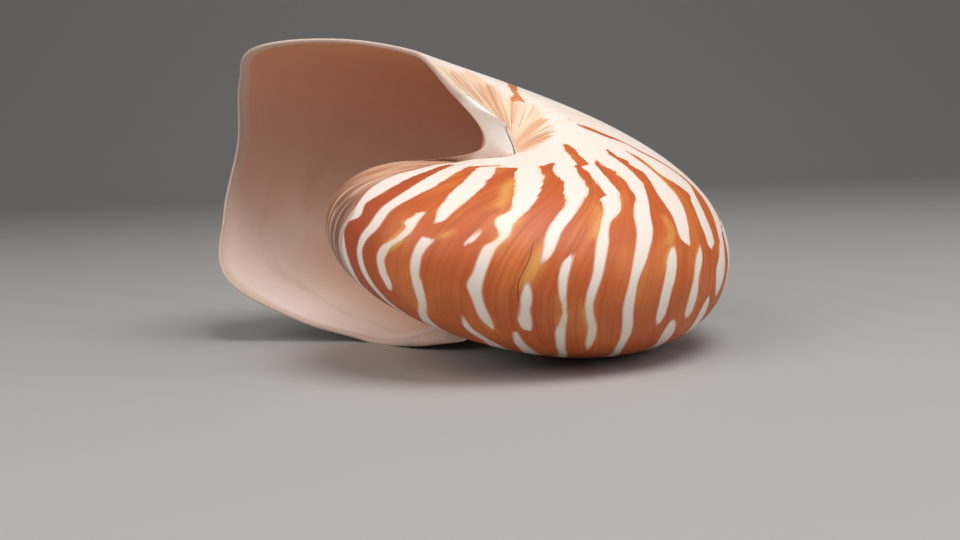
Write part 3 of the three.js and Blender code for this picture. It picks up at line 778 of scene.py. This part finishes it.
# Stripe edges, in millimetres: ragged along the growth lines, more and sharper on the upper flank, with
# amber where the pigment thins inside the edge and a cream halo outside it
RAGGED_LOW, RAGGED_UPPER = 0.35, 1.2
SOFT_LOW, SOFT_UPPER = 0.4, 0.18
AMBER_FROM, AMBER_TO = 1.3, 0.1
HALO_FROM, HALO_TO = -1.2, -0.1
teeth = add("Math", {"operation": "ADD"}, {0: streak["ragged"], 1: streak["toothed"]})
ragged = add("MapRange", {}, {"Value": read["upper"], "To Min": RAGGED_LOW, "To Max": RAGGED_UPPER})
jitter = add("Math", {"operation": "MULTIPLY_ADD"}, {0: teeth, 1: ragged, 2: read["stripe"]})
depth = add("Math", {"operation": "SUBTRACT"}, {0: jitter, 1: ragged})
soft = add("MapRange", {}, {"Value": read["upper"], "To Min": SOFT_LOW, "To Max": SOFT_UPPER})
before_edge = add("Math", {"operation": "MULTIPLY"}, {0: soft, 1: -1.0})
read["brown"] = add("MapRange", SMOOTH, {"Value": depth, "From Min": before_edge, "From Max": soft})
read["rim"] = add("MapRange", SMOOTH, {"Value": depth, "From Min": AMBER_FROM, "From Max": AMBER_TO,
                                       "To Max": read["brown"]})
read["halo"] = add("MapRange", SMOOTH, {"Value": depth, "From Min": HALO_FROM, "From Max": HALO_TO})
for where, within in (("thin", "amber"), ("faded", "back"), ("red", "young")):
    read[where] = add("MapRange", {}, {"Value": read[within], "To Max": read["brown"]})

# Fan of stain round the slit and its tan patches, their edges frayed along the rays, the fine line
# of the crack, and a fine line of painted shadow in the slit; all in millimetres
FAN_FRAY, FAN_FROM, FAN_FULL = 9.0, 3.6, 6.0
PATCH_FRAY, PATCH_FROM, PATCH_FULL = 3.0, 0.7, 2.2
SLIT_EDGE, SLIT_CORE = 0.34, 0.1
CRACK_EDGE, CRACK_CORE = 0.17, 0.06
fan_depth = add("Math", {"operation": "MULTIPLY_ADD"},
                {0: streak["fan_ray_two"], 1: FAN_FRAY, 2: read["fan"]})
read["stained"] = add("MapRange", SMOOTH, {"Value": fan_depth, "From Min": FAN_FROM, "From Max": FAN_FULL})
patch_depth = add("Math", {"operation": "MULTIPLY_ADD"},
                  {0: streak["fan_ray_two"], 1: PATCH_FRAY, 2: read["tan"]})
read["patch"] = add("MapRange", SMOOTH,
                    {"Value": patch_depth, "From Min": PATCH_FROM, "From Max": PATCH_FULL})
# Painted shadow in the slit, where the callus meets the funnel
read["slit_shadow"] = add("MapRange", {},
                        {"Value": read["slit"], "From Min": SLIT_EDGE, "From Max": SLIT_CORE})
crack_far = add("Math", {"operation": "ABSOLUTE"}, {0: read["crack"]})
read["crack_line"] = add("MapRange", {}, {"Value": crack_far, "From Min": CRACK_EDGE,
                                          "From Max": CRACK_CORE, "To Max": read["crack_run"]})

# Colours laid over each other: colour, where it lies, the streaks that break it up and their range
WHOLE = ("whole", -1, 0)
LAYERS = [
    (CREAM, "back", "cloud", 0.45, 0.8),
    (GROWTH_LINE, "back", "fibre", 0.52, 0.85),
    (CREAM, "halo", "cloud", 0.46, 0.62),
    (PEACH, "stained", *WHOLE),
    (CREAM, "stained", "fan_ray", 0.46, 0.6),
    (TAN, "patch", "fan_ray", 0.3, 0.42),
    (UMBER, "stained", "fan_line", 0.58, 0.72),
    (FLAME, "brown", *WHOLE),
    (FLAME_WARM, "brown", "cloud", 0.42, 0.66),
    (FLAME_DEEP, "brown", "fibre", 0.4, 0.9),
    (RUST, "red", *WHOLE),
    (TAN, "faded", "fibre", 0.3, 0.9),
    (AMBER, "rim", "cloud", 0.58, 0.72),
    (AMBER, "thin", "fibre", 0.1, 0.6),
    (CRACK_BROWN, "crack_line", *WHOLE),
    (MAUVE, "nose", *WHOLE),
    (MAUVE_DEEP, "nose", "stain_two", 0.45, 0.62),
    (STAIN_TAN, "nose_top", *WHOLE),
    (STAIN_BROWN, "nose_edge", "band", 0.3, 0.5),
    (STAIN_BROWN, "nose_top", "stain_two", 0.5, 0.64),
    (STAIN_PALE, "nose", "stain", 0.54, 0.68),
    (STAIN_BROWN, "nose_top", "stain_line", 0.54, 0.64),
    (CHAMBER, "inside", *WHOLE),
    # Painted shade laid over the chamber colour
    (CHAMBER_SHADE, "deep", *WHOLE),
    (CHAMBER_STREAK, "inside", "cloud", 0.5, 1.0),
    (CALLUS_WHITE, "callus", *WHOLE),
    (LIP_BEIGE, "lip", *WHOLE),
    # Painted shadow in the slit
    (SLIT_SHADOW, "slit_shadow", *WHOLE),
]
coat = linear(CHALK)
for colour, where, name, low, high in LAYERS:
    share = add("MapRange", SMOOTH, {"Value": streak[name], "From Min": low, "From Max": high,
                                     "To Max": read[where]})
    coat = add("Mix", {"data_type": "RGBA"}, {0: share, 6: coat, 7: linear(colour)}, 2)
tree.links.new(coat, surface.inputs["Base Color"])

# Satin skin, its gloss broken by the fibres, over faint growth ribs
SATIN_LOW, SATIN_HIGH = 0.44, 0.54
FIBRE_LOW, FIBRE_HIGH = 0.2, 0.8
RIB_STRENGTH = 0.1
RIB_HEIGHT = 0.4 * MM
satin = add("MapRange", {}, {"Value": streak["fibre"], "From Min": FIBRE_LOW, "From Max": FIBRE_HIGH,
                             "To Min": SATIN_LOW, "To Max": SATIN_HIGH})
tree.links.new(satin, surface.inputs["Roughness"])
surface.inputs["IOR"].default_value = 1.5
surface.inputs["Specular IOR Level"].default_value = 0.5
ribs = add("Math", {"operation": "ADD"}, {0: streak["fibre"], 1: streak["band"]})
relief = add("Bump", {}, {"Strength": RIB_STRENGTH, "Distance": RIB_HEIGHT, "Height": ribs})
tree.links.new(relief, surface.inputs["Normal"])
mesh.materials.append(aragonite)

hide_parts("nautilus_shell")
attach(shell, "root")

# Floor: a plain pale sheet of board that the shell lies on, laid flat and swept up behind it in a wide
# quarter circle
FLOOR_REACH = 3.0
SWEEP_AT = 0.9
SWEEP_RADIUS = 0.8
SWEEP_POINTS = 25
BOARD_GREY = "#B0AFAD"
BOARD_ROUGHNESS = 0.6
wall_at = SWEEP_AT + SWEEP_RADIUS
sweep = np.linspace(0, np.pi / 2, SWEEP_POINTS)
profile_y = np.concatenate([[-FLOOR_REACH], SWEEP_AT + SWEEP_RADIUS * np.sin(sweep), [wall_at]])
profile_z = np.concatenate([[0], SWEEP_RADIUS * (1 - np.cos(sweep)), [FLOOR_REACH]])
board_sides = [np.stack([np.full_like(profile_y, side), profile_y, profile_z], -1)
               for side in (-FLOOR_REACH, FLOOR_REACH)]
floor_mesh = bpy.data.meshes.new("floor")
floor_mesh.from_pydata(np.stack(board_sides, 1).reshape(-1, 3).tolist(), [],
                       sheet_quads(len(profile_y), 2, 0, False).tolist())
floor_mesh.polygons.foreach_set("use_smooth", np.ones(len(floor_mesh.polygons), bool))
floor = bpy.data.objects.new("floor", floor_mesh)
bpy.context.scene.collection.objects.link(floor)
pale_board = bpy.data.materials.new("pale_board")
pale_board.use_nodes = True
board_surface = pale_board.node_tree.nodes["Principled BSDF"]
board_surface.inputs["Base Color"].default_value = linear(BOARD_GREY)
board_surface.inputs["Roughness"].default_value = BOARD_ROUGHNESS
floor_mesh.materials.append(pale_board)

# Light: one broad soft panel high on the right, a weaker one on the left, a small one low on the
# right, and a grey room. Each panel: its name, place, width in metres, watts and tint.
LIGHTS = [
    ("key_panel", (0.24, -0.25, 0.8), 0.5, 5.3, "#FFFBF7"),
    ("fill_panel", (-0.5, -0.42, 0.58), 0.6, 3.3, "#FFF3E8"),
    ("side_panel", (0.62, -0.3, 0.34), 0.4, 0.9, "#FFFBF7"),
]
LIGHTS_AIM = (0.0, 0.0, 0.04)
ROOM_GREY = "#B9BCC2"
ROOM_STRENGTH = 0.3
for name, at, width, watts, tint in LIGHTS:
    panel = bpy.data.lights.new(name, "AREA")
    panel.size = width
    panel.energy = watts
    panel.color = linear(tint)[:3]
    lamp = bpy.data.objects.new(name, panel)
    back = np.array(at) - np.array(LIGHTS_AIM)
    back /= np.linalg.norm(back)
    right = np.cross((0, 0, 1), back)
    right /= np.linalg.norm(right)
    pose = np.eye(4)
    pose[:3] = np.stack([right, np.cross(back, right), back, at], 1)
    lamp.matrix_world = Matrix(pose.tolist())
    bpy.context.scene.collection.objects.link(lamp)
world = bpy.data.worlds.new("grey_room")
world.use_nodes = True
room = world.node_tree.nodes["Background"]
room.inputs["Color"].default_value = linear(ROOM_GREY)
room.inputs["Strength"].default_value = ROOM_STRENGTH
bpy.context.scene.world = world

# Camera: low, a little above the shell's middle, its place, tilt and lens fitted to the photograph
CAMERA_AT = (0.00512, -0.36815, 0.05978)
CAMERA_PITCH = np.radians(-6.063)
CAMERA_ROLL = np.radians(-2.148)
SENSOR_WIDTH = 36
LENS = 49.69
bpy.context.scene.view_settings.view_transform = "Standard"
camera_data = bpy.data.cameras.new("camera")
camera_data.sensor_width = SENSOR_WIDTH
camera_data.lens = LENS
camera = bpy.data.objects.new("camera", camera_data)
camera.matrix_world = (Matrix.Translation(CAMERA_AT)
                       @ Matrix.Rotation(np.pi / 2 + CAMERA_PITCH, 4, "X")
                       @ Matrix.Rotation(CAMERA_ROLL, 4, "Z"))
bpy.context.scene.collection.objects.link(camera)
bpy.context.scene.camera = camera
